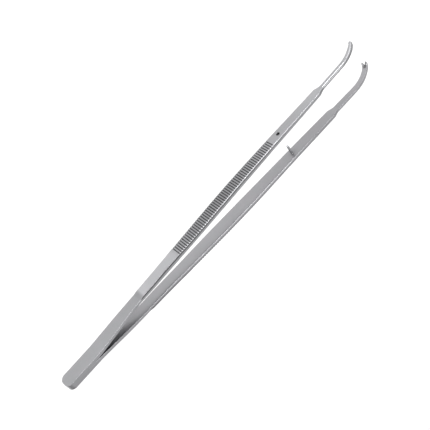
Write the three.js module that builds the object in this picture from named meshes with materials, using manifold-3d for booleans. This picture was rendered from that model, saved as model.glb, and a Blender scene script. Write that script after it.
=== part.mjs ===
// Long curved-tip tweezers: two spring-steel arms welded together at the butt.
// Millimetres. +X runs from the butt to the tips, +Y to the left arm, +Z up.
// The arms' widths stand in Z, the tips curve down to -Z, and the arms open in Y.
// Origin: centre of the butt's end face, on the plane between the arms.
// Each strip is parted by a narrow gap in the middle of its thin, bending leaf:
// the welded root lies behind the gap, the moving arm in front of it.

import * as THREE from "three";
import { mergeVertices } from "three/addons/utils/BufferGeometryUtils.js";
import Module from "manifold-3d";

const wasm = await Module();
wasm.setup();

// ---------------------------------------------------------------- dimensions
// A half gap, half thickness or level is measured in Y from the mid-plane.

const BUTT_WIDTH = 10.7;
const BUTT_HALF_THICKNESS = 2.3;
const BUTT_CORNER_RADIUS = 4.1; // corners of the butt end, seen along Y

const WELD_LENGTH = 25.5; // fused length, from the butt end
const WELD_HALF_THICKNESS = 0.2;
const WELD_INSET = 0.35; // the seam sits inside the outline by this much
const WELD_END_INSET = 0.3; // and stops this far short of the fused length

const FLEX_X = 45.4; // middle of the bending leaf
const FLEX_GAP = 0.3;

// Cross serrations in the outer faces
const GROOVE_COUNT = 55;
const GROOVE_FIRST_X = 101.8;
const GROOVE_PITCH = 1.59;
const GROOVE_TOP_WIDTH = 0.86;
const GROOVE_BOTTOM_WIDTH = 0.34;
const GROOVE_DEPTH = 0.42;
const COMB_LIFT = 0.3; // the cutter's teeth join this far outside the face
const COMB_BACK = 1.2; // the cutter's back, outside the face
const COMB_HALF_WIDTH = 8;

// Guide pin in the right arm, and its hole in the left arm
const PIN_X = 195.5;
const PIN_RADIUS = 0.75;
const PIN_LENGTH = 7.35; // free length above the right arm's inner face
const PIN_POINT_LENGTH = 1.5; // tapered, rounded end
const PIN_STEM_INSET = 0.05; // the stem is shorter than the strip's thickness by this
const PIN_SEAT_CLEARANCE = 0.3; // radial gap round the stem in its seat
const PIN_SEGMENTS = 24;
const GUIDE_HOLE_RADIUS = 1.2;
const BORE_START = -2; // cutter's ends, measured outwards from the inner face
const BORE_END = 6;
const BORE_SEGMENTS = 32;

// The pin's point: [share of the radius, distance from the start of the point]
const PIN_POINT = [
  [1, 0], [0.86, 0.5], [0.62, 1.0],
  [0.34, PIN_POINT_LENGTH - 0.14], [0, PIN_POINT_LENGTH],
];

const RISE_START_X = 185.0; // from here the centre line climbs a little,
const SHANK_RISE = 0.33; // to this much at the start of the shank
const BLADE_END_X = 231.0; // where the blade shoulders down to the shank
const SHOULDER_POWER = 2.2; // concavity of the shoulders
const SHOULDER_GAP_DIP = 0.13; // the half gap is less by this at the blade's end
const SHANK_START_X = 236.4;
const SHANK_HALF_GAP_START = 9.52;
const SHANK_HALF_GAP_END = 10.5;
const SHANK_WIDTH_RATE = 1.3; // the bend's width is reached at 1 / this of the length
const SHANK_BACK_HALF_FLAT = 0.12; // flat left between the shank's rounded corners
const SHANK_ROUND_SHARE = 0.82; // share of the shank's thickness that is rounded
const BEND_START_X = 252.3; // the shank is straight up to here
const BEND_RADIUS = 24.0;
const LEAN_LENGTH = 9; // the lean grows over this much of the jaw's end
const TIP_TAPER_LENGTH = 7.0; // the jaw narrows over this much of its end

// Rounded edge at the very end of the jaw: its length, and the shares lost there.
const TIP_EDGE = { length: 0.4, width: 0.08, thickness: 0.07 };

const CORNER_FACETS = 3; // facets in each outer corner
const MIN_HALF_FLAT = 0.05; // always left between the outer corners
const END_HUB_DEPTH = 0.6; // centre of an end's fan, as a share of the thickness

// Teeth: height above the jaw's inner face, length of the ramp that rises to them,
// distance of their points from the jaw's end, and their form across the jaw as
// [share of half width, share of height] from the centre line to the edge. notch is
// the depth of the V between two teeth, cut back along the jaw through its whole
// thickness, over the share notchReach of the half width. endRound rounds the end
// off towards its sides, and skew makes the lower side of the end the longer one.
const TEETH = {
  single: {
    height: 2.1, ramp: 2.6, setBack: 0.6,
    across: [[0, 1], [0.4, 0.96], [0.78, 0.6], [1, 0.25]],
    notch: 0, notchReach: 1, endRound: 1.5, skew: 0,
  },
  double: {
    height: 2.05, ramp: 2.8, setBack: 0,
    across: [[0, 0.02], [0.33, 0.45], [0.66, 1], [1, 0.5]],
    notch: 1.4, notchReach: 0.66, endRound: 0, skew: 0.5,
  },
};
const RAMP_POWER = 1.08; // hollow of the ramp
const NOTCH_POWER = 1.5; // how fast the notch fades along the ramp
const END_SHAPE_LENGTH = 3; // endRound and skew fade out over this length
const END_ROUND_POWER = 1.6; // how fast endRound fades

// The strip: station x, inner face from mid-plane, thickness, width at the inner
// face, and how far the outer corners are rounded across the width and the thickness.
const STRIP = [
  [WELD_LENGTH, WELD_HALF_THICKNESS, BUTT_HALF_THICKNESS - WELD_HALF_THICKNESS, BUTT_WIDTH, 0.2, 0.2],
  [33.4, 0.96, 1.92, 10.4, 0.2, 0.2],
  [41.2, 1.7, 1.9, 9.85, 0.2, 0.2],
  [49.1, 2.44, 1.9, 9.3, 0.2, 0.2],
  [57.0, 3.18, 1.8, 8.5, 0.2, 0.2],
  [65.0, 3.81, 1.7, 8.0, 0.2, 0.2],
  [66.0, 3.82, 1.76, 7.97, 0.22, 0.22],
  [67.0, 3.83, 2.01, 7.98, 0.3, 0.35],
  [68.0, 3.84, 2.29, 8.0, 0.4, 0.5],
  [69.0, 3.85, 2.45, 8.05, 0.5, 0.62],
  [70.7, 3.87, 2.53, 8.1, 0.56, 0.68],
  [74.6, 3.95, 2.55, 8.23, 0.58, 0.7],
  [88.4, 4.42, 2.58, 8.46, 0.42, 0.52],
  [100.0, 4.95, 2.5, 8.9, 0.25, 0.3],
  [115.9, 5.68, 2.43, 9.5, 0.2, 0.22],
  [129.6, 6.32, 2.46, 9.7, 0.2, 0.22],
  [143.4, 6.89, 2.52, 9.62, 0.2, 0.22],
  [157.1, 7.37, 2.57, 9.33, 0.2, 0.22],
  [171.9, 7.81, 2.48, 8.84, 0.2, 0.22],
  [186.6, 8.21, 2.31, 8.25, 0.2, 0.22],
  [201.3, 8.58, 2.18, 7.66, 0.22, 0.24],
  [214.1, 8.92, 2.06, 7.2, 0.24, 0.26],
  [225.9, 9.23, 2.02, 6.72, 0.26, 0.29],
  [BLADE_END_X, 9.37, 2.02, 6.5, 0.28, 0.32],
];

// What differs between the two arms. The right arm is the slightly heavier one.
// widen scales the width, growing in from widenFrom over widenOver. shankLength runs
// along the centre line from SHANK_START_X to the jaw's end. gapOffset is added to
// the shank's half gap. lean carries the jaw's end to the outside of its bend.
// endBevel is how far the inner face falls away at the very end. extra is added to
// the thickness, and shift to the strip's distance from the mid-plane, both as
// [station x, amount].
const ARMS = {
  left: {
    side: 1, widen: 0.955, widenFrom: 72, widenOver: 20,
    shankWidth: 3.5, bendWidth: 3.5, tipWidth: 2.5,
    shankThickness: 2.2, tipThickness: 2.15,
    shankLength: 35.8, gapOffset: 0.1, lean: 0.2,
    teeth: TEETH.single, endBevel: 1.5,
    shift: [[0, 0], [72, 0], [90, -0.2], [231, -0.2]],
    extra: [[0, 0.04], [72, 0], [90, 0.42], [190, 0.44], [214, 0.34], [231, 0.28]],
    boreRadius: GUIDE_HOLE_RADIUS,
  },
  right: {
    side: -1, widen: 1.12, widenFrom: 26, widenOver: 44,
    shankWidth: 4.8, bendWidth: 3.9, tipWidth: 3.75,
    shankThickness: 2.85, tipThickness: 2.45,
    shankLength: 37.7, gapOffset: 0.08, lean: 0.3,
    teeth: TEETH.double, endBevel: 0,
    shift: [[0, 0], [95, 0], [120, -0.12], [150, -0.22], [231, -0.3]],
    extra: [[0, 0.22], [58, 0.22], [68, 0.04], [190, 0], [214, 0.2], [231, 0.2]],
    boreRadius: PIN_RADIUS + PIN_SEAT_CLEARANCE,
  },
};

// ---------------------------------------------------------------- interpolation

const { clamp } = THREE.MathUtils;
const mix = (a, b, t) => a + (b - a) * t;
const smooth = (t) => {
  const u = clamp(t, 0, 1);
  return u * u * (3 - 2 * u);
};

// count + 1 evenly spaced values, both ends included.
const range = (from, to, count) =>
  Array.from({ length: count + 1 }, (_, i) => from + ((to - from) * i) / count);

// Straight lines through a list of [station, value], level beyond its ends.
function along(list, at) {
  let i = 0;
  while (i < list.length - 2 && at > list[i + 1][0]) i++;
  const [from, to] = [list[i], list[i + 1]];
  return mix(from[1], to[1], clamp((at - from[0]) / (to[0] - from[0]), 0, 1));
}

// Monotone cubic through one column of STRIP, as a function of the station.
function stripCurve(columnIndex) {
  const last = STRIP.length - 1;
  const x = STRIP.map((row) => row[0]);
  const values = STRIP.map((row) => row[columnIndex]);
  const slopes = range(0, last - 1, last - 1).map(
    (i) => (values[i + 1] - values[i]) / (x[i + 1] - x[i]),
  );
  const tangents = [slopes[0]];
  for (let i = 1; i < last; i++) {
    const [before, after] = [slopes[i - 1], slopes[i]];
    if (before * after <= 0) {
      tangents.push(0);
    } else {
      const a = x[i] - x[i - 1];
      const b = x[i + 1] - x[i];
      tangents.push((3 * (a + b)) / ((2 * b + a) / before + (b + 2 * a) / after));
    }
  }
  tangents.push(slopes[last - 1]);

  return (at) => {
    const place = clamp(at, x[0], x[last]);
    let i = 0;
    while (i < last - 1 && place > x[i + 1]) i++;
    const span = x[i + 1] - x[i];
    const t = (place - x[i]) / span;
    const t2 = t * t;
    const t3 = t2 * t;
    return (
      (2 * t3 - 3 * t2 + 1) * values[i] +
      (t3 - 2 * t2 + t) * span * tangents[i] +
      (-2 * t3 + 3 * t2) * values[i + 1] +
      (t3 - t2) * span * tangents[i + 1]
    );
  };
}
const [innerFace, thickness, stripWidth, roundWidth, roundThickness] =
  [1, 2, 3, 4, 5].map(stripCurve);

// ---------------------------------------------------------------- profile
// A station s is a distance along an arm's centre line, equal to x up to the bend.

const jawEnd = (arm) => SHANK_START_X + arm.shankLength;
const armThickness = (arm, s) => thickness(s) + along(arm.extra, s);
const innerLevel = (arm, s) => innerFace(s) + along(arm.shift, s);
const outerLevel = (arm, s) => innerLevel(arm, s) + armThickness(arm, s);
const armWidth = (arm, s) =>
  stripWidth(s) * mix(1, arm.widen, smooth((s - arm.widenFrom) / arm.widenOver));

// Centre of a station, how far the jaw has turned down there, and the length left
// to the jaw's end.
function centreLine(arm, s) {
  const left = jawEnd(arm) - s;
  const turn = Math.max(s - BEND_START_X, 0) / BEND_RADIUS;
  const lean = arm.lean * smooth(1 - left / LEAN_LENGTH);
  const rise = SHANK_RISE * smooth((s - RISE_START_X) / (SHANK_START_X - RISE_START_X));
  return {
    x: Math.min(s, BEND_START_X) + (BEND_RADIUS + lean) * Math.sin(turn),
    z: rise - BEND_RADIUS * (1 - Math.cos(turn)) + lean * Math.cos(turn),
    turn,
    left,
  };
}

// Section of the fused butt, with its rounded end corners.
function buttSection(arm, s) {
  const inCorner = Math.max(BUTT_CORNER_RADIUS - s, 0);
  const chord = Math.sqrt(Math.max(BUTT_CORNER_RADIUS ** 2 - inCorner ** 2, 0));
  return {
    inner: WELD_HALF_THICKNESS,
    outer: BUTT_HALF_THICKNESS + arm.extra[0][1],
    width: BUTT_WIDTH - 2 * (BUTT_CORNER_RADIUS - chord),
    roundWidth: roundWidth(s),
    roundThickness: roundThickness(s),
  };
}

// Section of the leaf and the blade.
function stripSection(arm, s) {
  return {
    inner: innerLevel(arm, s),
    outer: outerLevel(arm, s),
    width: armWidth(arm, s),
    roundWidth: roundWidth(s),
    roundThickness: roundThickness(s),
  };
}

// Section beyond the blade: concave shoulders, where the flat bar turns into a
// half-round one, then the shank and the jaw.
function shankSection(arm, s) {
  const shoulder = Math.min((s - BLADE_END_X) / (SHANK_START_X - BLADE_END_X), 1);
  const blend = smooth(shoulder);
  const progress = clamp((s - SHANK_START_X) / arm.shankLength, 0, 1);
  const left = jawEnd(arm) - s;

  const slender = mix(arm.shankWidth, arm.bendWidth, smooth(progress * SHANK_WIDTH_RATE));
  const shankWidth = mix(slender, arm.tipWidth, smooth(1 - left / TIP_TAPER_LENGTH));
  const shankThickness = mix(arm.shankThickness, arm.tipThickness, smooth(progress));
  const drop = 1 - (1 - shoulder) ** SHOULDER_POWER;
  let width = mix(armWidth(arm, BLADE_END_X), shankWidth, drop);
  let thick = mix(armThickness(arm, BLADE_END_X), shankThickness, blend);
  if (left < TIP_EDGE.length) {
    const round = Math.sqrt(Math.max(1 - (1 - left / TIP_EDGE.length) ** 2, 0));
    width *= 1 - TIP_EDGE.width * (1 - round);
    thick *= 1 - TIP_EDGE.thickness * (1 - round);
  }

  const halfGap = mix(SHANK_HALF_GAP_START, SHANK_HALF_GAP_END, progress);
  const inner =
    halfGap - (1 - shoulder) * SHOULDER_GAP_DIP +
    mix(along(arm.shift, BLADE_END_X), arm.gapOffset, blend);
  return {
    inner,
    outer: inner + thick,
    width,
    roundWidth: mix(roundWidth(BLADE_END_X), width / 2 - SHANK_BACK_HALF_FLAT, blend),
    roundThickness: mix(roundThickness(BLADE_END_X), thick * SHANK_ROUND_SHARE, blend),
  };
}

function station(arm, s) {
  let section = shankSection;
  if (s < WELD_LENGTH) section = buttSection;
  else if (s <= BLADE_END_X) section = stripSection;
  return { ...centreLine(arm, s), ...section(arm, s) };
}

// How far the jaw's inner face stands proud of its plain level, at the given
// distance from the jaw's end and share of the teeth's height.
function toothRise({ teeth, endBevel }, left, share) {
  if (left > teeth.setBack + teeth.ramp) return 0;
  const height = teeth.height * share;
  if (left < teeth.setBack) return mix(height, -endBevel, 1 - left / teeth.setBack);
  return height * (1 - (left - teeth.setBack) / teeth.ramp) ** RAMP_POWER;
}

// How far a point of the jaw lies back from its plain place, along the jaw.
function cutBack({ teeth }, { left, width }, across) {
  const share = Math.abs(across) / (width / 2);
  let back = 0;
  if (left < teeth.ramp) {
    const depth = teeth.notch * Math.max(1 - share / teeth.notchReach, 0);
    back += depth * (1 - left / teeth.ramp) ** NOTCH_POWER;
  }
  if (left < END_SHAPE_LENGTH) {
    const near = 1 - left / END_SHAPE_LENGTH;
    back += teeth.endRound * Math.min(share, 1) ** 2 * near ** END_ROUND_POWER;
    if (across < 0) back -= teeth.skew * share * near;
  }
  return back;
}

// A point of a station's section, at a level from the mid-plane and a distance
// across the width, placed in space.
function placePoint(arm, place, level, across) {
  const back = cutBack(arm, place, across);
  const sin = Math.sin(place.turn);
  const cos = Math.cos(place.turn);
  return [
    place.x + across * sin - back * cos,
    arm.side * level,
    place.z + across * cos + back * sin,
  ];
}

// ---------------------------------------------------------------- solids

// [level, across] points reflected in the centre line, in reverse order.
const mirrored = (points) => points.map(([level, across]) => [level, -across]).reverse();

// The station's outline, as points in space, in one turning direction.
function outline(arm, s) {
  const place = station(arm, s);
  const half = place.width / 2;
  const acrossRadius = Math.min(place.roundWidth, half - MIN_HALF_FLAT);
  const depthRadius = place.roundThickness;
  const innerEdge = arm.teeth.across.map(([share, height]) => [
    place.inner - toothRise(arm, place.left, height),
    share * half,
  ]);
  const corner = range(0, Math.PI / 2, CORNER_FACETS).map((angle) => [
    place.outer - depthRadius + depthRadius * Math.sin(angle),
    half - acrossRadius + acrossRadius * Math.cos(angle),
  ]);
  return [...mirrored(innerEdge.slice(1)), ...innerEdge, ...corner, ...mirrored(corner)].map(
    ([level, across]) => placePoint(arm, place, level, across),
  );
}

// A closed skin over a list of stations.
function loft(arm, stations) {
  const rings = stations.map((s) => outline(arm, s));
  const ringSize = rings[0].length;
  const positions = rings.flat(2);
  const index = [];
  const addFace = (a, b, c) => (arm.side > 0 ? index.push(a, b, c) : index.push(a, c, b));
  for (let ring = 0; ring < rings.length - 1; ring++) {
    for (let i = 0; i < ringSize; i++) {
      const a = ring * ringSize + i;
      const b = ring * ringSize + ((i + 1) % ringSize);
      addFace(a, a + ringSize, b);
      addFace(b, a + ringSize, b + ringSize);
    }
  }
  // Each end is a fan about a point inside it, set back as deep as the notch.
  for (const ring of [0, rings.length - 1]) {
    const place = station(arm, stations[ring]);
    const hub = positions.length / 3;
    positions.push(...placePoint(arm, place, mix(place.inner, place.outer, END_HUB_DEPTH), 0));
    for (let i = 0; i < ringSize; i++) {
      const a = ring * ringSize + i;
      const b = ring * ringSize + ((i + 1) % ringSize);
      if (ring === 0) addFace(hub, a, b);
      else addFace(hub, b, a);
    }
  }
  const geometry = new THREE.BufferGeometry();
  geometry.setAttribute("position", new THREE.Float32BufferAttribute(positions, 3));
  geometry.setIndex(index);
  return geometry;
}

// Normals and texture coordinates go first, so that vertices merge by place alone.
function toSolid(geometry) {
  geometry.deleteAttribute("normal");
  geometry.deleteAttribute("uv");
  const merged = mergeVertices(geometry, 1e-4);
  return new wasm.Manifold(
    new wasm.Mesh({
      numProp: 3,
      vertProperties: new Float32Array(merged.attributes.position.array),
      triVerts: new Uint32Array(merged.index.array),
    }),
  );
}

function toGeometry(solid) {
  const { vertProperties, triVerts } = solid.getMesh();
  const geometry = new THREE.BufferGeometry();
  const positions = new Float32Array(vertProperties);
  geometry.setAttribute("position", new THREE.BufferAttribute(positions, 3));
  geometry.setIndex(new THREE.BufferAttribute(new Uint32Array(triVerts), 1));
  return geometry;
}

// Prism of a closed outline drawn in the X-Y plane, from z = 0 up.
function prism(points, depth) {
  const shape = new THREE.Shape(points.map(([x, y]) => new THREE.Vector2(x, y)));
  return new THREE.ExtrudeGeometry(shape, { depth, bevelEnabled: false, steps: 1 });
}

// The cutter for the cross serrations: a comb just outside the outer face.
function serrationComb(arm) {
  const flankSlope = (GROOVE_TOP_WIDTH - GROOVE_BOTTOM_WIDTH) / 2 / GROOVE_DEPTH;
  const halfTop = GROOVE_TOP_WIDTH / 2 + flankSlope * COMB_LIFT;
  const halfBottom = GROOVE_BOTTOM_WIDTH / 2;
  const start = GROOVE_FIRST_X - GROOVE_PITCH;
  const finish = GROOVE_FIRST_X + GROOVE_COUNT * GROOVE_PITCH;
  const points = [[start, outerLevel(arm, start) + COMB_LIFT]];
  for (let i = 0; i < GROOVE_COUNT; i++) {
    const x = GROOVE_FIRST_X + i * GROOVE_PITCH;
    const face = outerLevel(arm, x);
    points.push(
      [x - halfTop, face + COMB_LIFT],
      [x - halfBottom, face - GROOVE_DEPTH],
      [x + halfBottom, face - GROOVE_DEPTH],
      [x + halfTop, face + COMB_LIFT],
    );
  }
  points.push(
    [finish, outerLevel(arm, finish) + COMB_LIFT],
    [finish, outerLevel(arm, finish) + COMB_BACK],
    [start, outerLevel(arm, start) + COMB_BACK],
  );
  const placed = points.map(([x, y]) => [x, arm.side * y]);
  if (arm.side < 0) placed.reverse();
  return prism(placed, 2 * COMB_HALF_WIDTH).translate(0, 0, -COMB_HALF_WIDTH);
}

// Moves a geometry drawn along +Y to the pin's station, square to the arm's inner
// face. direction is 1 to point it outwards from the mid-plane, -1 inwards.
function setSquareToArm(geometry, arm, direction) {
  const step = 0.5;
  const slope = (innerFace(PIN_X + step) - innerFace(PIN_X - step)) / (2 * step);
  const axis = new THREE.Vector3(-slope, 1, 0).normalize();
  axis.y *= arm.side;
  axis.multiplyScalar(direction);
  const up = new THREE.Vector3(0, 1, 0);
  geometry.applyQuaternion(new THREE.Quaternion().setFromUnitVectors(up, axis));
  return geometry.translate(PIN_X, arm.side * innerLevel(arm, PIN_X), 0);
}

// The cutter for the guide hole or the pin's seat.
function borer(arm) {
  const length = BORE_END - BORE_START;
  const bar = new THREE.CylinderGeometry(arm.boreRadius, arm.boreRadius, length, BORE_SEGMENTS);
  bar.translate(0, (BORE_START + BORE_END) / 2, 0);
  return setSquareToArm(bar, arm, 1);
}

// ---------------------------------------------------------------- pieces

function buttRoot(arm) {
  const corner = range(0, Math.PI / 2, 6).map((a) => BUTT_CORNER_RADIUS * (1 - Math.cos(a)));
  return loft(arm, [
    ...corner,
    WELD_LENGTH - 0.01,
    ...range(27, FLEX_X - FLEX_GAP / 2, 7),
  ]);
}

// Stations are closest where the strip thickens, at the shoulders and at the teeth.
function armStations(arm) {
  const end = jawEnd(arm);
  const fromEnd = [3.2, 2.8, 2.4, 2.0, 1.7, 1.4, 1.1, 0.8, 0.6, 0.4, 0.25, 0.12, 0.04];
  return [
    ...range(FLEX_X + FLEX_GAP / 2, 64, 7),
    ...[65, 66, 66.5, 67, 67.5, 68, 68.5, 69, 69.8, 70.7, 72.5, 74.6],
    ...range(79, 226, 27),
    BLADE_END_X,
    ...range(BLADE_END_X + 0.6, SHANK_START_X, 7),
    ...range(241, BEND_START_X, 2),
    ...range(BEND_START_X + 1.5, end - 3.6, 9),
    ...fromEnd.map((distance) => end - distance),
  ];
}

function movingArm(arm) {
  const solid = toSolid(loft(arm, armStations(arm)))
    .subtract(toSolid(serrationComb(arm)))
    .subtract(toSolid(borer(arm)));
  return toGeometry(solid);
}

// The pin: a stem in the right arm, a straight body and a rounded taper.
function guidePin() {
  const stem = thickness(PIN_X) - PIN_STEM_INSET;
  const body = PIN_LENGTH - PIN_POINT_LENGTH;
  const profile = [
    [0, -stem],
    [PIN_RADIUS, -stem],
    ...PIN_POINT.map(([share, height]) => [PIN_RADIUS * share, body + height]),
  ].map(([radius, height]) => new THREE.Vector2(radius, height));
  return setSquareToArm(new THREE.LatheGeometry(profile, PIN_SEGMENTS), ARMS.right, -1);
}

// The fused seam between the two strips, inside their outline.
function buttWeld() {
  const half = BUTT_WIDTH / 2 - WELD_INSET;
  const radius = BUTT_CORNER_RADIUS - WELD_INSET;
  const end = WELD_LENGTH - WELD_END_INSET;
  const corner = (startAngle, centreZ) =>
    range(startAngle, startAngle + Math.PI / 2, 8).map((angle) => [
      WELD_INSET + radius + radius * Math.cos(angle),
      centreZ + radius * Math.sin(angle),
    ]);
  const points = [
    ...corner(Math.PI, radius - half),
    [end, -half],
    [end, half],
    ...corner(Math.PI / 2, half - radius),
  ];
  // Drawn flat, then turned so that its thickness lies in Y.
  return prism(points, 2 * WELD_HALF_THICKNESS)
    .rotateX(Math.PI / 2)
    .translate(0, WELD_HALF_THICKNESS, 0);
}

// ---------------------------------------------------------------- assembly

const steel = ({ color, roughness = 0.36 }) =>
  new THREE.MeshStandardMaterial({ color, roughness, metalness: 1.0 });
const leftSteel = () => steel({ color: 0xa9abae });
const rightSteel = () => steel({ color: 0xa3a4a7 });
const weldSteel = () => steel({ color: 0x8c8d90, roughness: 0.5 });
const pinSteel = () => steel({ color: 0xb4b5b8, roughness: 0.28 });

function part(name, geometry, material) {
  geometry.computeVertexNormals();
  const mesh = new THREE.Mesh(geometry, material);
  mesh.name = name;
  return mesh;
}

const butt = new THREE.Group().add(
  part("left_butt", buttRoot(ARMS.left), leftSteel()),
  part("right_butt", buttRoot(ARMS.right), rightSteel()),
  part("butt_weld", buttWeld(), weldSteel()),
);
const leftArm = new THREE.Group().add(part("left_arm", movingArm(ARMS.left), leftSteel()));
const rightArm = new THREE.Group().add(
  part("right_arm", movingArm(ARMS.right), rightSteel()),
  part("guide_pin", guidePin(), pinSteel()),
);

const tweezers = new THREE.Group().add(butt, leftArm, rightArm);

export default tweezers;
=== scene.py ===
import math

import bmesh
import bpy
import numpy as np
from mathutils import Matrix, Vector


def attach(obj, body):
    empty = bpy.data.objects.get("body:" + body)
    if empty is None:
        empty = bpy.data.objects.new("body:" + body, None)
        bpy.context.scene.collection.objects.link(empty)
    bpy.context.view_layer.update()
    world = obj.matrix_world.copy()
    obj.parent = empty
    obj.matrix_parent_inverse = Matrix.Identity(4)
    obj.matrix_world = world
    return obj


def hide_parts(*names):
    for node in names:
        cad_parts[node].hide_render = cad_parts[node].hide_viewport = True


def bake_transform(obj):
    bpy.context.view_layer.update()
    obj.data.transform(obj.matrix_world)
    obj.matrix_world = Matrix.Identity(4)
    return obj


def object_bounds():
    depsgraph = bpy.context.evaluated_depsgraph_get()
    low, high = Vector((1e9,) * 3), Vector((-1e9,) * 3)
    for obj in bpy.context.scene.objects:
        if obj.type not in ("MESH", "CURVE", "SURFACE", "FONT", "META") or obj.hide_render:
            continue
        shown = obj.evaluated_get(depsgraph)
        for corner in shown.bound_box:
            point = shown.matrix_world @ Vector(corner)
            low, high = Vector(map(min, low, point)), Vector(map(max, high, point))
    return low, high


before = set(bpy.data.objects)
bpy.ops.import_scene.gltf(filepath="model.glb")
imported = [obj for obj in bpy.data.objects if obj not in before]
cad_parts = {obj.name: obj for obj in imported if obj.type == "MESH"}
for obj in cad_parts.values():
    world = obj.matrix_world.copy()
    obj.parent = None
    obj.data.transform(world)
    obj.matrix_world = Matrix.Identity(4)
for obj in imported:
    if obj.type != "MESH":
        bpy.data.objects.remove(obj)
cad_low, cad_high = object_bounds()
MM = 0.001

# ------------------------------------------------------------------ sizes
BUTT_WIDTH = 10.7
BUTT_HALF_THICKNESS = 2.3
BUTT_CORNER_RADIUS = 4.1
WELD_LENGTH = 25.5
WELD_HALF_THICKNESS = 0.2

GROOVE_COUNT = 55
GROOVE_FIRST_X = 101.8
GROOVE_PITCH = 1.59
GROOVE_MOUTH_HALF = 0.4558
GROOVE_FLOOR_HALF = 0.1275
GROOVE_DEPTH = 0.42
GROOVE_LAST_X = GROOVE_FIRST_X + (GROOVE_COUNT - 1) * GROOVE_PITCH

PIN_X = 195.5
PIN_RADIUS = 0.78
PIN_LENGTH = 7.35
PIN_TIP_LENGTH = 1.7
PIN_TAPER = 0.03
PIN_FOOT_FILLET_WIDTH = 0.14
PIN_FOOT_FILLET_HEIGHT = 0.3
HOLE_RADIUS = 1.2
HOLE_CHAMFER = 0.05

BLADE_END_X = 231.0
SHANK_START_X = 236.4
BEND_START_X = 252.3
BEND_RADIUS = 24.0
SHANK_HALF_GAP_START = 9.52
SHANK_HALF_GAP_END = 10.5
RISE_START_X = 185.0
SHANK_RISE = 0.33
TIP_TAPER_LENGTH = 7.0
TIP_END_ROUND = 0.4
LEAN_LENGTH = 9

INNER_SPANS = 14      # across the inner face
OUTER_SPANS = 12      # across the outer face
ARC_SPANS = 7         # round each outer edge
BEVEL_SPANS = 3       # round each inner edge

# x, inner face, thickness, width, edge rounding across the width, and through the thickness
STRIP = [
    (WELD_LENGTH, WELD_HALF_THICKNESS, 2.1, BUTT_WIDTH, 0.2, 0.2),
    (33.4, 0.96, 1.92, 10.4, 0.2, 0.2),
    (41.2, 1.7, 1.9, 9.85, 0.2, 0.2),
    (49.1, 2.44, 1.9, 9.3, 0.2, 0.2),
    (57.0, 3.18, 1.8, 8.5, 0.2, 0.2),
    (65.0, 3.81, 1.7, 8.0, 0.2, 0.2),
    (66.0, 3.82, 1.76, 7.97, 0.22, 0.22),
    (67.0, 3.83, 2.01, 7.98, 0.3, 0.35),
    (68.0, 3.84, 2.29, 8.0, 0.4, 0.5),
    (69.0, 3.85, 2.45, 8.05, 0.5, 0.62),
    (70.7, 3.87, 2.53, 8.1, 0.56, 0.68),
    (74.6, 3.95, 2.55, 8.23, 0.58, 0.7),
    (88.4, 4.42, 2.58, 8.46, 0.42, 0.52),
    (100.0, 4.95, 2.5, 8.9, 0.25, 0.3),
    (115.9, 5.68, 2.43, 9.5, 0.2, 0.22),
    (129.6, 6.32, 2.46, 9.7, 0.2, 0.22),
    (143.4, 6.89, 2.52, 9.62, 0.2, 0.22),
    (157.1, 7.37, 2.57, 9.33, 0.2, 0.22),
    (171.9, 7.81, 2.48, 8.84, 0.2, 0.22),
    (186.6, 8.21, 2.31, 8.25, 0.2, 0.22),
    (201.3, 8.58, 2.18, 7.66, 0.22, 0.24),
    (214.1, 8.92, 2.06, 7.2, 0.24, 0.26),
    (225.9, 9.23, 2.02, 6.72, 0.26, 0.29),
    (BLADE_END_X, 9.37, 2.02, 6.5, 0.28, 0.32),
]
SWELL_X = (65.8, 68.0, 69.0, 71.0)     # the swell before the grip is straight between these

# Tables along the strips: (x, value). Tones multiply the base colour of the steel; several of
# them paint light and shade into it.
# Outer faces: painted light and shade, lighter or darker where the face tilts towards or away
# from the light.
FACE_PAINTED_SHADING = [                          # outer faces
    (0, 0.97), (50, 0.96), (60, 0.93), (65.5, 0.90), (66.3, 0.84), (68.0, 0.86), (68.9, 1.04),
    (70.0, 1.32), (78, 1.25), (99, 1.20), (102, 1.0), (120, 0.86), (148, 0.74), (165, 0.86),
    (187, 0.95), (190, 0.97), (205, 0.97), (222, 1.03), (231, 1.10), (240, 1.0), (280, 1.0)]
EDGE_HIGHLIGHT_TONE = [                          # painted highlight on the upper outer edges
    (0, 1.0), (70, 1.1), (99, 1.1), (104, 1.5), (185, 1.45), (200, 0.98), (231, 0.98),
    (236, 1.0), (280, 1.0)]
# Flank tones: darker along the grip; on the left shank painted shade that dims the top lamp's
# reflection.
LEFT_FLANK_TONE = [
    (0, 1.0), (66.2, 1.0), (67.4, 0.37), (80, 0.38), (100, 0.38), (140, 0.42), (165, 0.48),
    (190, 0.56), (205, 0.74), (231, 0.80), (236, 0.55), (260, 0.58), (272, 0.80), (280, 0.92)]
RIGHT_FLANK_TONE = [
    (0, 1.0), (66.2, 1.0), (67.4, 0.5), (90, 0.66), (150, 0.8), (231, 0.93), (236, 1.07),
    (262, 1.05), (280, 1.0)]
RIGHT_INNER_PAINTED_SHADE = [                   # painted shade on the inner face, deepest in the crook by the weld
    (0, 1.0), (25, 0.9), (30, 0.74), (46, 0.72), (56, 0.84), (68, 0.97), (76, 1.02),
    (90, 1.04), (140, 1.02), (170, 0.97), (195, 0.90), (229, 0.91), (246, 0.91), (256, 0.97),
    (264, 1.0), (280, 1.0)]
LEFT_UPPER_ROUND = [                   # rounding of the left strip's upper outer edge
    (0, 0.15), (60, 0.15), (68, 0.12), (100, 0.14), (105, 0.32), (190, 0.4), (205, 0.46),
    (231, 0.5)]
RUN_OUT = [                            # how far the serrations cut into the outer edges
    (0, 1.0), (118, 1.0), (145, 0.35), (280, 0.3)]

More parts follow.
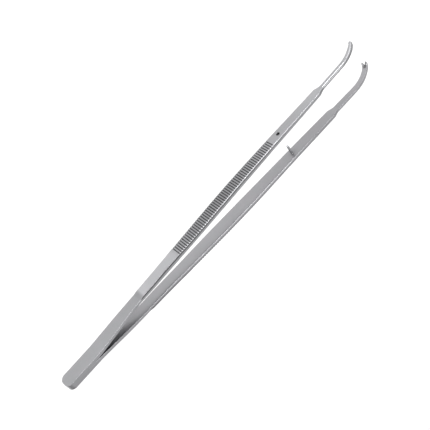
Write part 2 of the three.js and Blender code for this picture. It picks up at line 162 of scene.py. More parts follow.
# Tooth forms at the tips. ramp: length of the slope behind a tooth; set_back: from tooth to end;
# across: (share of the half width, share of the height); notch, reach: depth and half width of
# the notch between two teeth; plan: rounding of the end towards its sides; skew: how much
# longer the lower side is.
SINGLE = dict(
    height=2.1, ramp=2.6, set_back=0.6, across=[(0, 1.0), (0.4, 0.96), (0.78, 0.6), (1, 0.25)],
    notch=0.0, reach=1.0, plan=1.5, skew=0.0)
DOUBLE = dict(
    height=2.05, ramp=2.8, set_back=0.0,
    across=[(0, 0.02), (0.33, 0.45), (0.66, 1.0), (1, 0.5)],
    notch=1.4, reach=0.66, plan=0.0, skew=0.5)

# side: sign of y; widen: width against STRIP; shank, bend, tip: widths; thick, thick_tip: shank
# thickness; length: of shank and tip; gap: added to the shank's half gap; lean: of the tip
# across the bend; shift, extra: (x, offset of both faces), (x, added thickness);
# bevel: inner edges of the blade, and how much finer towards its end; tip_bevel: on the shank
ARMS = {
    "left": dict(
        side=1, widen=0.955, widen_from=72, widen_over=20,
        shank=3.5, bend=3.5, tip=2.5, thick=2.2, thick_tip=2.15,
        length=35.8, gap=0.1, teeth=SINGLE, end_bevel=1.5, lean=0.2,
        shift=[(0, 0), (72, 0), (90, -0.2), (231, -0.2)],
        extra=[(0, 0.04), (72, 0.0), (90, 0.42), (190, 0.44), (214, 0.34), (231, 0.28)],
        bevel=(0.13, 0.0), tip_bevel=0.18, upper_round=LEFT_UPPER_ROUND,
        flank_tone=LEFT_FLANK_TONE, inner_tone=[(0, 1.0)]),
    "right": dict(
        side=-1, widen=1.12, widen_from=26, widen_over=44,
        shank=4.8, bend=3.9, tip=3.75, thick=2.85, thick_tip=2.45,
        length=37.7, gap=0.08, teeth=DOUBLE, end_bevel=0.0, lean=0.3,
        shift=[(0, 0), (95, 0), (120, -0.12), (150, -0.22), (231, -0.3)],
        extra=[(0, 0.22), (58, 0.22), (68, 0.04), (190, 0), (214, 0.2), (231, 0.2)],
        bevel=(0.33, 0.15), tip_bevel=0.36, upper_round=None,
        flank_tone=RIGHT_FLANK_TONE, inner_tone=RIGHT_INNER_PAINTED_SHADE),
}


# ------------------------------------------------------------------ curves
def smooth(t):
    t = min(max(t, 0.0), 1.0)
    return t * t * (3 - 2 * t)


def mix(a, b, t):
    return a + (b - a) * t


def lookup(table, along):
    """Value of an (x, value) table, straight between its points."""
    return float(np.interp(along, *zip(*table)))


def monotone(xs, ys):
    """Monotone cubic through the points, as a function of one number."""
    last = len(xs) - 1
    slopes = [(ys[i + 1] - ys[i]) / (xs[i + 1] - xs[i]) for i in range(last)]
    tangents = [slopes[0]]
    for i in range(1, last):
        before, after = slopes[i - 1], slopes[i]
        if before * after <= 0:
            tangents.append(0.0)
        else:
            a, b = xs[i] - xs[i - 1], xs[i + 1] - xs[i]
            tangents.append(3 * (a + b) / ((2 * b + a) / before + (b + 2 * a) / after))
    tangents.append(slopes[-1])

    def curve(x):
        x = min(max(x, xs[0]), xs[-1])
        i = 0
        while i < last - 1 and x > xs[i + 1]:
            i += 1
        step = xs[i + 1] - xs[i]
        t = (x - xs[i]) / step
        return ((2 * t**3 - 3 * t**2 + 1) * ys[i] + (t**3 - 2 * t**2 + t) * step * tangents[i]
                + (-2 * t**3 + 3 * t**2) * ys[i + 1] + (t**3 - t**2) * step * tangents[i + 1])
    return curve


strip_x, *strip_columns = zip(*STRIP)
inner_face, thickness, strip_width, round_width, round_thickness = [
    monotone(strip_x, column) for column in strip_columns]


# ------------------------------------------------------------------ sections of a strip
def full_thickness(arm, along):
    return thickness(along) + lookup(arm["extra"], along)


def blade_width(arm, along):
    widened = smooth((along - arm["widen_from"]) / arm["widen_over"])
    return strip_width(along) * (1 + (arm["widen"] - 1) * widened)


def blade_rounding(arm, along):
    """(across the width, through the thickness) of the upper and the lower outer edge."""
    upper = lookup(arm["upper_round"], along) if arm["upper_round"] else round_width(along)
    return (upper, upper * 1.1), (round_width(along), round_thickness(along))


def centre_rise(along):
    return SHANK_RISE * smooth((along - RISE_START_X) / (SHANK_START_X - RISE_START_X))


def blade_section(arm, along):
    """Section from the butt to the end of the blade."""
    if along < WELD_LENGTH:
        inner = WELD_HALF_THICKNESS
        outer = BUTT_HALF_THICKNESS + arm["extra"][0][1]
        width = BUTT_WIDTH
    else:
        inner = inner_face(along)
        outer = inner + full_thickness(arm, along)
        width = blade_width(arm, along)
    if SWELL_X[0] <= along <= SWELL_X[-1]:
        outer = lookup([(x, inner_face(x) + full_thickness(arm, x)) for x in SWELL_X], along)
    if along < BUTT_CORNER_RADIUS:
        reach = BUTT_CORNER_RADIUS - along
        width -= 2 * (BUTT_CORNER_RADIUS - math.sqrt(max(BUTT_CORNER_RADIUS**2 - reach**2, 0)))
    shift = lookup(arm["shift"], along)
    upper, lower = blade_rounding(arm, along)
    return dict(x=along, z=centre_rise(along), turn=0.0, inner=inner + shift,
                outer=outer + shift, width=width, upper=upper, lower=lower, to_tip=math.inf)


def shank_section(arm, along):
    """Section of the neck behind the blade, the shank and the bent tip."""
    neck = (along - BLADE_END_X) / (SHANK_START_X - BLADE_END_X)
    blend, ease = smooth(neck), min(neck, 1.0)
    to_tip = SHANK_START_X + arm["length"] - along
    share = min(max((along - SHANK_START_X) / arm["length"], 0), 1)

    slender = mix(arm["shank"], arm["bend"], smooth(share * 1.3))
    slender = mix(slender, arm["tip"], smooth(1 - to_tip / TIP_TAPER_LENGTH))
    width = mix(blade_width(arm, BLADE_END_X), slender, 1 - (1 - ease) ** 2.2)
    shank_thick = mix(arm["thick"], arm["thick_tip"], smooth(share))
    thick = mix(full_thickness(arm, BLADE_END_X), shank_thick, blend)
    if to_tip < TIP_END_ROUND:
        rounded = math.sqrt(max(1 - (1 - to_tip / TIP_END_ROUND) ** 2, 0))
        width *= 0.92 + 0.08 * rounded
        thick *= 0.93 + 0.07 * rounded

    inner = mix(SHANK_HALF_GAP_START, SHANK_HALF_GAP_END, share) - (1 - ease) * 0.13
    inner += mix(lookup(arm["shift"], BLADE_END_X), arm["gap"], blend)
    turn = max(along - BEND_START_X, 0) / BEND_RADIUS
    lean = arm["lean"] * smooth(1 - to_tip / LEAN_LENGTH)
    x = min(along, BEND_START_X) + (BEND_RADIUS + lean) * math.sin(turn)
    z = centre_rise(along) - BEND_RADIUS * (1 - math.cos(turn)) + lean * math.cos(turn)
    shank_round = (width / 2 - 0.12, thick * 0.82)
    upper, lower = [[mix(a, b, blend) for a, b in zip(edge, shank_round)]
                    for edge in blade_rounding(arm, BLADE_END_X)]
    return dict(x=x, z=z, turn=turn, inner=inner, outer=inner + thick, width=width,
                upper=upper, lower=lower, to_tip=to_tip)


def section_at(arm, along):
    return blade_section(arm, along) if along <= BLADE_END_X else shank_section(arm, along)


def tooth_rise(arm, to_tip, share):
    """How far a tooth stands in from the inner face; share is from its form across."""
    teeth = arm["teeth"]
    height = teeth["height"] * share
    past_tooth = to_tip - teeth["set_back"]
    if past_tooth > teeth["ramp"]:
        return 0.0
    if past_tooth >= 0:
        return height * (1 - past_tooth / teeth["ramp"]) ** 1.08
    return mix(height, -arm["end_bevel"], 1 - to_tip / teeth["set_back"])


def end_set_back(teeth, to_tip, across):
    """How far a point near the tip moves back; across is a share of the half width."""
    back = 0.0
    if to_tip < teeth["ramp"]:
        notch = teeth["notch"] * max(1 - abs(across) / teeth["reach"], 0)
        back = notch * (1 - to_tip / teeth["ramp"]) ** 1.5
    if to_tip < 3:
        near = 1 - to_tip / 3
        back += teeth["plan"] * min(abs(across), 1) ** 2.0 * near**1.6
        back -= teeth["skew"] * max(-across, 0) * near
    return back


def groove_share(along):
    """Depth of the serrations as a share of full depth, with softened corners."""
    i = round((along - GROOVE_FIRST_X) / GROOVE_PITCH)
    if i < 0 or i >= GROOVE_COUNT:
        return 0.0
    away = abs(along - (GROOVE_FIRST_X + i * GROOVE_PITCH))
    return 1 - smooth((away - GROOVE_FLOOR_HALF) / (GROOVE_MOUTH_HALF - GROOVE_FLOOR_HALF))


def inner_bevel(arm, along, to_tip):
    """Size of the broken inner edges: none where the strips are fused."""
    size, finer = arm["bevel"]
    size -= finer * smooth((along - 185) / 25)
    bevel = 0.15 * smooth((along - 17.0) / 8.0) + size * smooth((along - 58) / 32)
    if to_tip > 4:
        return mix(bevel, arm["tip_bevel"], smooth((along - BLADE_END_X) / 8))
    return mix(0.08, arm["tip_bevel"], to_tip / 4)


# ------------------------------------------------------------------ outline at a station
# An outline's rows are (y from the mid-plane, across, edge wear and sheen, groove depth, tone).
def inner_rows(arm, along, section, bevel):
    """The inner face with its teeth, from the lower edge to the upper one."""
    half, to_tip = section["width"] / 2, section["to_tip"]
    form = arm["teeth"]["across"]
    shares = np.linspace(-1, 1, INNER_SPANS + 1)
    if to_tip < 5:                     # as many rows, but placed on the tooth form's corners
        own = [share for share, _ in form]
        own = [-share for share in own[:0:-1]] + own
        shares = sorted(own + [mix(a, b, 0.5) for a, b in zip(own, own[1:])]
                        + [mix(own[i], own[i + 1], 0.25) for i in (2, 3)])
    flat = half - bevel
    inner_tone = lookup(arm["inner_tone"], along)
    rows = []
    for share in shares:
        tone = inner_tone
        if arm["side"] < 0:
            # painted shade round the foot of the pin, a dark halo standing in for its contact
            # shadow and reflection
            tone *= 1 - 0.30 * math.exp(-((along - PIN_X - 0.4) / 2.3) ** 2
                                        - ((share * half - 0.2) / 2.1) ** 2)
            # painted shade in the hollow between the two teeth
            middle = smooth((0.75 - abs(share) * flat / half) / 0.5)
            tone *= 1 - 0.62 * middle * smooth((4.4 - to_tip) / 1.2)
        rise = tooth_rise(arm, to_tip, lookup(form, abs(share)))
        rows.append((section["inner"] - rise, share * flat, 0.0, 0.0, tone))
    return rows


def ring(arm, along):
    """The strip's section at a station and the rows of its outline."""
    section = section_at(arm, along)
    half, outer, to_tip = section["width"] / 2, section["outer"], section["to_tip"]
    groove = groove_share(along)
    edge_groove = groove * lookup(RUN_OUT, along)
    face_y = outer - GROOVE_DEPTH * groove
    edge_y = outer - GROOVE_DEPTH * edge_groove
    bevel = inner_bevel(arm, along, to_tip)
    edge_rise = tooth_rise(arm, to_tip, arm["teeth"]["across"][-1][1])
    flank_y = section["inner"] - edge_rise + bevel

    face_tone = lookup(FACE_PAINTED_SHADING, along)
    flank_tone = lookup(arm["flank_tone"], along)
    # past the blade the whole flank is one tone
    low_tone = mix(1.0, min(flank_tone, 1.0), smooth((along - BLADE_END_X) / 5))
    if arm["side"] > 0:
        rim_tone = low_tone
    else:
        # painted shade: the right arm's inner edge darker towards the tips, dimming its
        # highlight
        rim_tone = 1 - 0.06 * smooth((along - 100) / 20) - 0.2 * smooth((along - 185) / 25)

    def side_rows(sign, rounding, rim, edge_tone, fade):
        """Inner edge, flank and outer edge, going outwards; sign +1 is the upper side."""
        across_r, through_r = rounding
        across_r = mix(min(across_r, half - 0.05), 0.1, edge_groove)
        through_r = min(mix(through_r, 0.1, edge_groove), (outer - flank_y) * 0.85)
        arc_y = edge_y - through_r
        rows = []
        for k in range(1, BEVEL_SPANS + 1):
            angle = k / BEVEL_SPANS * math.pi / 2
            wear_and_sheen = math.sin(angle * 2) if k < BEVEL_SPANS else 0.4
            rows.append((flank_y - bevel * math.cos(angle),
                         sign * (half - bevel + bevel * math.sin(angle)), wear_and_sheen, 0.0, rim))
        for share, tone in ((0.30, low_tone), (0.50, low_tone), (0.58, flank_tone)):
            y = min(mix(flank_y, outer - rounding[1], share), mix(flank_y, arc_y, 0.9))
            rows.append((y, sign * half, 0.0, 0.0, tone))
        rows.append((arc_y, sign * half, 0.0, 0.0, flank_tone))
        for k in range(1, ARC_SPANS + 1):
            angle = k / ARC_SPANS * math.pi / 2
            rows.append((arc_y + through_r * math.sin(angle),
                         sign * (half - across_r + across_r * math.cos(angle)),
                         math.sin(2 * angle), edge_groove,
                         mix(flank_tone, edge_tone, smooth(angle / fade))))
        return rows

    upper = side_rows(1, section["upper"], rim_tone, lookup(EDGE_HIGHLIGHT_TONE, along), fade=0.5)
    lower = side_rows(-1, section["lower"], 1.0, face_tone, fade=0.8)
    crown = 0.03 * (1 - groove)
    face = []
    for k in range(1, OUTER_SPANS):
        share = 1 - 2 * k / OUTER_SPANS
        across = mix(lower[-1][1], upper[-1][1], (share + 1) / 2)
        face.append((face_y + crown * (1 - share * share), across, 0.0, groove, face_tone))
    return section, inner_rows(arm, along, section, bevel) + upper + face + lower[::-1]


# ------------------------------------------------------------------ strip mesh
def butt_stations():
    return [BUTT_CORNER_RADIUS * (1 - math.cos(a)) for a in np.linspace(0, math.pi / 2, 20)]


def arm_stations(arm):
    """Distances along the strip at which it has an outline."""
    spans = [                          # start, end, count
        (5.5, 24.5, 14), (28, 64, 36), (64.5, 72.0, 31), (73.0, GROOVE_FIRST_X - 1.2, 24),
        (GROOVE_LAST_X + 1.6, 229.5, 34), (230.0, SHANK_START_X + 1, 26),
        (SHANK_START_X + 2, BEND_START_X, 16)]
    end = SHANK_START_X + arm["length"]
    spans += [(BEND_START_X + 0.8, end - 4.0, 22), (end - 3.7, end - 1.0, 22)]
    out = butt_stations() + [25.2, 25.49, 25.51, 26.0, 26.8]
    for start, stop, count in spans:
        out += np.linspace(start, stop, count).tolist()
    half_groove = (0.13, 0.22, 0.32, 0.40, 0.46, 0.56)
    offsets = [-d for d in half_groove] + [0.0, *half_groove, GROOVE_PITCH / 2]
    for i in range(GROOVE_COUNT):
        out += [GROOVE_FIRST_X + i * GROOVE_PITCH + d for d in offsets]
    out += (end - 0.9 * (1 - np.sin(np.linspace(0.06, math.pi / 2, 16)))).tolist()
    return sorted({round(float(v), 4) for v in out if v < end - 1e-4}) + [end - 0.0005]


def new_object(name, mesh):
    body = bpy.data.objects.new(name, mesh)
    bpy.context.scene.collection.objects.link(body)
    return body


def strip_mesh(name, arm):
    stations = arm_stations(arm)
    verts, marks, faces = [], [], []
    for along in stations:
        section, rows = ring(arm, along)
        sin, cos = math.sin(section["turn"]), math.cos(section["turn"])
        half = section["width"] / 2
        for y, across, *mark in rows:
            back = end_set_back(arm["teeth"], section["to_tip"], across / half)
            verts.append((MM * (section["x"] + across * sin - back * cos),
                          MM * arm["side"] * y,
                          MM * (section["z"] + across * cos + back * sin)))
            marks.append(mark)
    count = len(rows)
    last = len(stations) - 1
    flip = arm["side"] > 0
    for r in range(last):
        for i in range(count):
            a, b = r * count + i, r * count + (i + 1) % count
            if flip:
                faces.append((a, b, b + count, a + count))
            else:
                faces.append((a, a + count, b + count, b))
    # ends: rings shrunk towards the middle, so the caps have clean quads
    for end in (0, last):
        turned = flip == (end != 0)
        base = np.array(verts[end * count:(end + 1) * count])
        hub = base.mean(0)
        previous = end * count
        for shrink in (0.8, 0.5):
            start = len(verts)
            verts += [tuple(point) for point in hub + (base - hub) * shrink]
            for i in range(count):
                j = (i + 1) % count
                quad = (previous + i, start + i, start + j, previous + j)
                faces.append(quad[::-1] if turned else quad)
            previous = start
        centre = len(verts)
        verts.append(tuple(hub))
        for i in range(count):
            tri = (previous + i, centre, previous + (i + 1) % count)
            faces.append(tri[::-1] if turned else tri)
    marks += [[0.0, 0.0, 1.0]] * (len(verts) - len(marks))

    mesh = bpy.data.meshes.new(name)
    mesh.from_pydata(verts, [], faces)
    mesh.validate()
    strip = new_object(name, mesh)
    for label, values in zip(("edge_wear_and_sheen", "groove", "tone"), zip(*marks)):
        attribute = mesh.attributes.new(label, "FLOAT", "POINT")
        attribute.data.foreach_set("value", np.array(values, np.float32))
    face_outwards(mesh)
    return strip


# ------------------------------------------------------------------ mesh tools
def face_outwards(mesh):
    """One consistent winding, then all of it turned outwards by the sign of the volume."""
    bm = bmesh.new()
    bm.from_mesh(mesh)
    bmesh.ops.recalc_face_normals(bm, faces=bm.faces)
    bm.to_mesh(mesh)
    bm.free()
    mesh.calc_loop_triangles()
    points = np.empty(len(mesh.vertices) * 3)
    mesh.vertices.foreach_get("co", points)
    tris = np.empty(len(mesh.loop_triangles) * 3, np.int32)
    mesh.loop_triangles.foreach_get("vertices", tris)
    a, b, c = (points.reshape(-1, 3)[tris.reshape(-1, 3)[:, k]] for k in range(3))
    if np.einsum("ij,ij->i", a, np.cross(b, c)).sum() < 0:
        mesh.flip_normals()
    mesh.update()


def sharpen(body, degrees):
    """Smooth shading, with edges sharper than this angle kept crisp."""
    bm = bmesh.new()
    bm.from_mesh(body.data)
    for face in bm.faces:
        face.smooth = True
    limit = math.radians(degrees)
    for edge in bm.edges:
        edge.smooth = not (len(edge.link_faces) == 2 and edge.calc_face_angle(0) > limit)
    bm.to_mesh(body.data)
    bm.free()
    body.data.update()


def lathe(name, profile, segments):
    """Closed body of revolution about +Y from (radius, height) in mm, ends on the axis."""
    bm = bmesh.new()
    rows = []
    for radius, height in profile:
        radius, height = radius * MM, height * MM
        if radius == 0:
            rows.append([bm.verts.new((0, height, 0))])
        else:
            rows.append([bm.verts.new((radius * math.cos(a), height, radius * math.sin(a)))
                         for a in np.linspace(0, 2 * math.pi, segments, endpoint=False)])
    for a, b in zip(rows, rows[1:]):
        for i in range(segments):
            j = (i + 1) % segments
            if len(a) == 1:
                bm.faces.new((a[0], b[i], b[j]))
            elif len(b) == 1:
                bm.faces.new((a[i], b[0], a[j]))
            else:
                bm.faces.new((a[i], b[i], b[j], a[j]))
    mesh = bpy.data.meshes.new(name)
    bm.to_mesh(mesh)
    bm.free()
    face_outwards(mesh)
    return new_object(name, mesh)


def pin_frame(arm):
    """Point on the inner face at the pin's station, and the way out through the strip."""
    slope = inner_face(PIN_X + 0.5) - inner_face(PIN_X - 0.5)
    out = Vector((-slope, 1.0, 0)).normalized()
    out.y *= arm["side"]
    y = arm["side"] * (inner_face(PIN_X) + lookup(arm["shift"], PIN_X))
    return Vector((PIN_X * MM, y * MM, 0)), out


def place(body, origin, axis):
    body.data.transform(Vector((0, 1, 0)).rotation_difference(axis).to_matrix().to_4x4())
    body.data.transform(Matrix.Translation(origin))
    body.data.update()


def cut(body, cutter):
    mod = body.modifiers.new("cut", "BOOLEAN")
    mod.operation = "DIFFERENCE"
    mod.solver = "EXACT"
    mod.object = cutter
    bpy.context.view_layer.update()
    with bpy.context.temp_override(object=body, active_object=body):
        bpy.ops.object.modifier_apply(modifier=mod.name)
    bpy.data.objects.remove(cutter)


# ------------------------------------------------------------------ steel
def steel(name, base, rough, tint=(1.0, 1.0, 1.0), marked=True):
    """Satin ground steel; marked takes the tone painted along the strip, which includes painted
    light and shade.
    """
    mat = bpy.data.materials.new(name)
    mat.use_nodes = True
    tree = mat.node_tree
    tree.nodes.clear()

    def node(kind, inputs=None, **settings):
        """New node; each input is given as a value or as a socket to link."""
        made = tree.nodes.new(kind)
        for key, value in settings.items():
            setattr(made, key, value)
        for key, value in (inputs or {}).items():
            if isinstance(value, bpy.types.NodeSocket):
                tree.links.new(value, made.inputs[key])
            else:
                made.inputs[key].default_value = value
        return made

    def mapping(scale):
        return node("ShaderNodeMapping",
                    {"Scale": scale, "Vector": coord.outputs["Object"]}).outputs[0]

    def noise(vector, scale, detail, roughness=0.55):
        return node("ShaderNodeTexNoise", {
            "Scale": scale, "Detail": detail, "Roughness": roughness,
            "Vector": vector}).outputs["Fac"]

    def remap(source, low, high, to_low, to_high):
        return node("ShaderNodeMapRange", {
            "From Min": low, "From Max": high, "To Min": to_low, "To Max": to_high,
            "Value": source}).outputs["Result"]

    def add(a, b):
        return node("ShaderNodeMath", {0: a, 1: b}, operation="ADD").outputs[0]

    def multiply(a, b):
        return node("ShaderNodeMath", {0: a, 1: b}, operation="MULTIPLY").outputs[0]

    def attribute(label):
        return node("ShaderNodeAttribute", attribute_name=label).outputs["Fac"]

    out = node("ShaderNodeOutputMaterial")
    bsdf = node("ShaderNodeBsdfPrincipled", {"Metallic": 1.0})
    tree.links.new(bsdf.outputs[0], out.inputs[0])
    coord = node("ShaderNodeTexCoord")
    plain = mapping((1, 1, 1))
    brushed = mapping((1, 22, 22))                              # stretched along the strip
    cloud = noise(plain, scale=55, detail=3)                    # slow tone patches
    patch = noise(plain, scale=170, detail=4, roughness=0.6)    # finer mottling
    lines = noise(brushed, scale=160, detail=5, roughness=0.65)  # grinding lines
    pits = noise(plain, scale=5200, detail=2)                   # satin grain
    edge = attribute("edge_wear_and_sheen")
    groove = attribute("groove")

    # colour: faint blue-violet drift, brighter on worn edges partly as a painted highlight, dark
    # in the grooves
    tone = add(remap(cloud, 0.3, 0.7, -0.035, 0.035), remap(patch, 0.3, 0.7, -0.018, 0.018))
    tone = add(tone, remap(lines, 0.3, 0.7, -0.02, 0.02))
    tone = add(tone, multiply(edge, 0.18))
    tone = add(tone, multiply(groove, -0.62))
    value = multiply(add(tone, 1.0), base)
    if marked:
        value = multiply(value, attribute("tone"))
    red, green, blue = tint
    drift = node("ShaderNodeMix", {                    # 6 and 7 are the colours A and B
        0: remap(patch, 0.42, 0.62, 0, 1),
        6: (0.985 * red, 0.995 * green, 1.025 * blue, 1),
        7: (1.0 * red, 0.99 * green, 1.03 * blue, 1)}, data_type="RGBA")
    colour = node("ShaderNodeVectorMath", {0: drift.outputs[2], "Scale": value},
                  operation="SCALE")
    tree.links.new(colour.outputs[0], bsdf.inputs["Base Color"])

    # roughness: satin, smoother on worn edges, rougher in the grooves
    satin = add(remap(lines, 0.25, 0.75, -0.045, 0.045), remap(patch, 0.3, 0.7, -0.03, 0.03))
    satin = add(satin, rough)
    satin = add(satin, multiply(edge, -0.06))
    satin = add(satin, multiply(groove, 0.10))
    tree.links.new(satin, bsdf.inputs["Roughness"])

    # relief: grinding lines, then satin grain
    ground = node("ShaderNodeBump", {"Strength": 0.22, "Distance": 0.00002, "Height": lines})
    grained = node("ShaderNodeBump", {"Strength": 0.25, "Distance": 0.00001, "Height": pits,
                                      "Normal": ground.outputs[0]})
    tree.links.new(grained.outputs[0], bsdf.inputs["Normal"])
    return mat


STEELS = {
    "left": steel("left_arm_steel", base=0.352, rough=0.33),
    "right": steel("right_arm_steel", base=0.33, rough=0.33, tint=(1.003, 0.995, 1.0)),
    "weld": steel("weld_steel", base=0.33, rough=0.42, marked=False),
    "pin": steel("pin_steel", base=0.44, rough=0.26, marked=False),
}


# ------------------------------------------------------------------ pieces
def cut_guide_hole(strip, arm):
    """Chamfered hole through the strip, square to its inner face."""
    origin, out = pin_frame(arm)
    through = full_thickness(arm, PIN_X)
    overrun = 1.0
    flare = HOLE_RADIUS + HOLE_CHAMFER + overrun
    cutter = lathe("cutter", [
        (0, -overrun), (flare, -overrun), (HOLE_RADIUS, HOLE_CHAMFER),
        (HOLE_RADIUS, through - HOLE_CHAMFER), (flare, through + overrun),
        (0, through + overrun)], 64)
    place(cutter, origin, out)
    cut(strip, cutter)
    # clear the marks round the hole and darken its wall
    for vertex in strip.data.vertices:
        offset = vertex.co - origin
        away = (offset - offset.dot(out) * out).length
        if away < (HOLE_RADIUS + HOLE_CHAMFER + 0.15) * MM:
            tone = 0.2 if away < (HOLE_RADIUS + 0.02) * MM else 1.0
            for label, value in (("edge_wear_and_sheen", 0.0), ("groove", 0.0), ("tone", tone)):
                strip.data.attributes[label].data[vertex.index].value = value


def build_strip(side):
    strip = strip_mesh(side + "_strip", ARMS[side])
    if side == "left":
        cut_guide_hole(strip, ARMS[side])
    sharpen(strip, 32)
    strip.data.materials.clear()       # drops any slot left by the cut
    strip.data.materials.append(STEELS[side])
    return strip


def build_pin():
    """Pin through the right strip, pointing at the left one; height 0 is the inner face."""
    arm = ARMS["right"]
    seat = full_thickness(arm, PIN_X)
    shaft_end = PIN_LENGTH - PIN_TIP_LENGTH
    fillet, foot = PIN_FOOT_FILLET_WIDTH, PIN_FOOT_FILLET_HEIGHT
    profile = [                        # peened end, then through the strip
        (0, -seat - 0.07), (0.45, -seat - 0.062), (0.76, -seat - 0.035), (0.9, -seat),
        (0.92, -seat + 0.15), (PIN_RADIUS, -seat + 0.5), (PIN_RADIUS, -0.3),
        (PIN_RADIUS + fillet, -0.06)]
    profile += [(PIN_RADIUS + fillet * (1 - math.sin(a)), foot * (1 - math.cos(a)))
                for a in np.linspace(0.0, math.pi / 2, 9)]
    profile += [(PIN_RADIUS - PIN_TAPER * k / 8, mix(foot, shaft_end, k / 8))
                for k in range(1, 9)]
    profile += [((PIN_RADIUS - PIN_TAPER) * math.cos(a) ** 0.75,
                 shaft_end + PIN_TIP_LENGTH * math.sin(a))
                for a in np.linspace(0.0, math.pi / 2, 14)[1:13]]
    profile.append((0, PIN_LENGTH))
    pin = lathe("guide_pin_visual", profile, 48)
    origin, out = pin_frame(arm)
    place(pin, origin, -out)
    sharpen(pin, 40)
    pin.data.materials.append(STEELS["pin"])
    return pin


def build_weld():
    """Thin slab that fills the seam between the strips at the butt."""
    stations = butt_stations() + np.linspace(5, 25.3, 42).tolist()
    spans = 16
    verts, faces = [], []
    for along in stations:
        # the seam opens towards its front, where the edge is hollow
        sink = 0.28 * smooth((along - 17.5) / 7.5)
        half = section_at(ARMS["left"], along)["width"] / 2 - 0.005 - sink
        hollow = 1.3 * smooth((along - 22.5) / 2.8)
        inset = 0.004 if along < 0.01 else 0.0
        for k in range(spans + 1):
            share = -1 + 2 * k / spans
            x = along + inset - hollow * (1 - share * share)
            verts.append((x, -WELD_HALF_THICKNESS, share * half))
            verts.append((x, WELD_HALF_THICKNESS, share * half))
    row = 2 * (spans + 1)
    last = len(stations) - 1
    for r in range(last):
        for k in range(spans):
            a = r * row + 2 * k
            b = a + 2
            faces.append((a, a + row, b + row, b))
            faces.append((a + 1, b + 1, b + row + 1, a + row + 1))
        a = r * row
        b = a + 2 * spans
        faces.append((a, a + 1, a + row + 1, a + row))
        faces.append((b, b + row, b + row + 1, b + 1))
    for k in range(spans):
        a, b = 2 * k, last * row + 2 * k
        faces.append((a, a + 2, a + 3, a + 1))
        faces.append((b, b + 1, b + 3, b + 2))
    mesh = bpy.data.meshes.new("fused_seam")
    mesh.from_pydata([tuple(MM * c for c in v) for v in verts], [], faces)
    mesh.validate()
    weld = new_object("fused_seam", mesh)
    sharpen(weld, 30)
    weld.data.materials.append(STEELS["weld"])
    return weld


strips = {side: build_strip(side) for side in ARMS}
pin = build_pin()
weld = build_weld()

# ------------------------------------------------------------------ ride on the frame
for side, strip in strips.items():
    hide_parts(side + "_butt", side + "_arm")
    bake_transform(strip)
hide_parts("guide_pin")
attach(pin, "right_arm")
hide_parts("butt_weld")
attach(weld, "butt")

# ------------------------------------------------------------------ stage, in metres
FLOOR_DROP = 0.09
FLOOR_HALF = 3.0


def build_floor():
    z = cad_low[2] - FLOOR_DROP
    mesh = bpy.data.meshes.new("floor")
    corners = [(-1, -1), (1, -1), (1, 1), (-1, 1)]
    mesh.from_pydata([(x * FLOOR_HALF, y * FLOOR_HALF, z) for x, y in corners],
                     [], [(0, 1, 2, 3)])
    floor = new_object("floor", mesh)
    mat = bpy.data.materials.new("floor_white")
    mat.use_nodes = True
    inputs = mat.node_tree.nodes["Principled BSDF"].inputs
    inputs["Base Color"].default_value = (0.93, 0.93, 0.93, 1)
    inputs["Roughness"].default_value = 0.8
    inputs["Specular IOR Level"].default_value = 0.2
    floor.data.materials.append(mat)


build_floor()

# The camera's right, down and forward directions, and the origin's place along them
CAMERA_AXES = [
    (0.66969, -0.49969, 0.54938),
    (-0.73223, -0.56770, 0.37624),
    (0.12388, -0.65424, -0.74607),
]
ORIGIN_FROM_CAMERA = (-0.08777116, 0.099989204, 0.587013086)


def build_camera():
    u, _, v = np.linalg.svd(np.array(CAMERA_AXES))
    axes = u @ v                       # made exactly square to each other
    location = -axes.T @ np.array(ORIGIN_FROM_CAMERA)
    data = bpy.data.cameras.new("camera")
    camera = new_object("camera", data)
    pose = Matrix.Identity(4)
    for i in range(3):
        pose[i] = (axes[0][i], -axes[1][i], -axes[2][i], location[i])
    camera.matrix_world = pose
    data.sensor_width = 36
    data.lens = 83.72093023
    data.shift_x = -0.00116279070
    data.shift_y = 0.00116279070
    data.clip_start = 0.01
    data.clip_end = 20
    bpy.context.scene.camera = camera


build_camera()


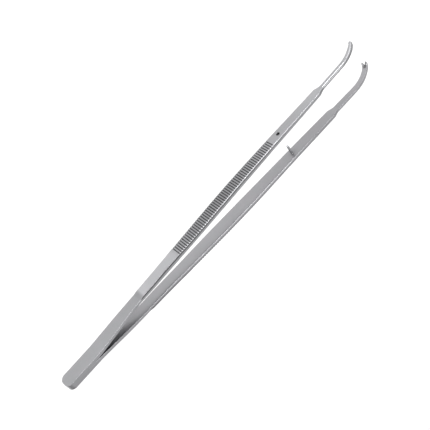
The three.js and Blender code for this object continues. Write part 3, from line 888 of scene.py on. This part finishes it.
def area(name, direction, distance, size, power, target=(0.135, 0, 0)):
    """Rectangular light at a distance from its target, facing it."""
    data = bpy.data.lights.new(name, "AREA")
    data.shape = "RECTANGLE"
    data.size, data.size_y = size
    data.energy = power
    light = new_object(name, data)
    direction = Vector(direction).normalized()
    light.location = Vector(target) + direction * distance
    light.rotation_euler = (-direction).to_track_quat("-Z", "Y").to_euler()


# a long softbox over the camera, wide ones overhead and behind the butt, a small one by the tips
area("key", direction=(0.12, 0.84, 0.52), distance=1.5, size=(1.5, 0.26), power=11.6,
     target=(0.14, 0, 0))
area("top", direction=(0.25, -0.15, 1.0), distance=1.6, size=(1.0, 0.7), power=4.6)
area("side", direction=(-0.7, 0.1, 0.7), distance=1.6, size=(1.0, 0.7), power=7.0)
area("tip_card", direction=(0.70, 0.66, 0.14), distance=0.27, size=(0.10, 0.26), power=0.15,
     target=(0.262, 0.01, -0.008))


def build_world():
    """A soft white room, darker behind the butt end and a little darker towards +Y."""
    world = bpy.data.worlds.new("studio")
    bpy.context.scene.world = world
    world.use_nodes = True
    tree = world.node_tree
    background = tree.nodes["Background"]
    background.inputs[0].default_value = (1, 1, 1, 1)
    coord = tree.nodes.new("ShaderNodeTexCoord")
    split = tree.nodes.new("ShaderNodeSeparateXYZ")
    tree.links.new(coord.outputs["Generated"], split.inputs[0])
    level = tree.nodes.new("ShaderNodeMath")
    level.operation = "MULTIPLY"
    # axis, direction from and to, brightness from and to
    for i, (axis, *limits) in enumerate([("X", -0.9, -0.15, 0.42, 1.0),
                                         ("Y", -0.9, 0.9, 0.88, 0.72)]):
        fade = tree.nodes.new("ShaderNodeMapRange")
        fade.interpolation_type = "SMOOTHSTEP"
        for key, value in zip(("From Min", "From Max", "To Min", "To Max"), limits):
            fade.inputs[key].default_value = value
        tree.links.new(split.outputs[axis], fade.inputs["Value"])
        tree.links.new(fade.outputs["Result"], level.inputs[i])
    tree.links.new(level.outputs[0], background.inputs[1])


build_world()
view = bpy.context.scene.view_settings
view.view_transform = "Standard"
view.look = "None"
view.exposure = 0.0
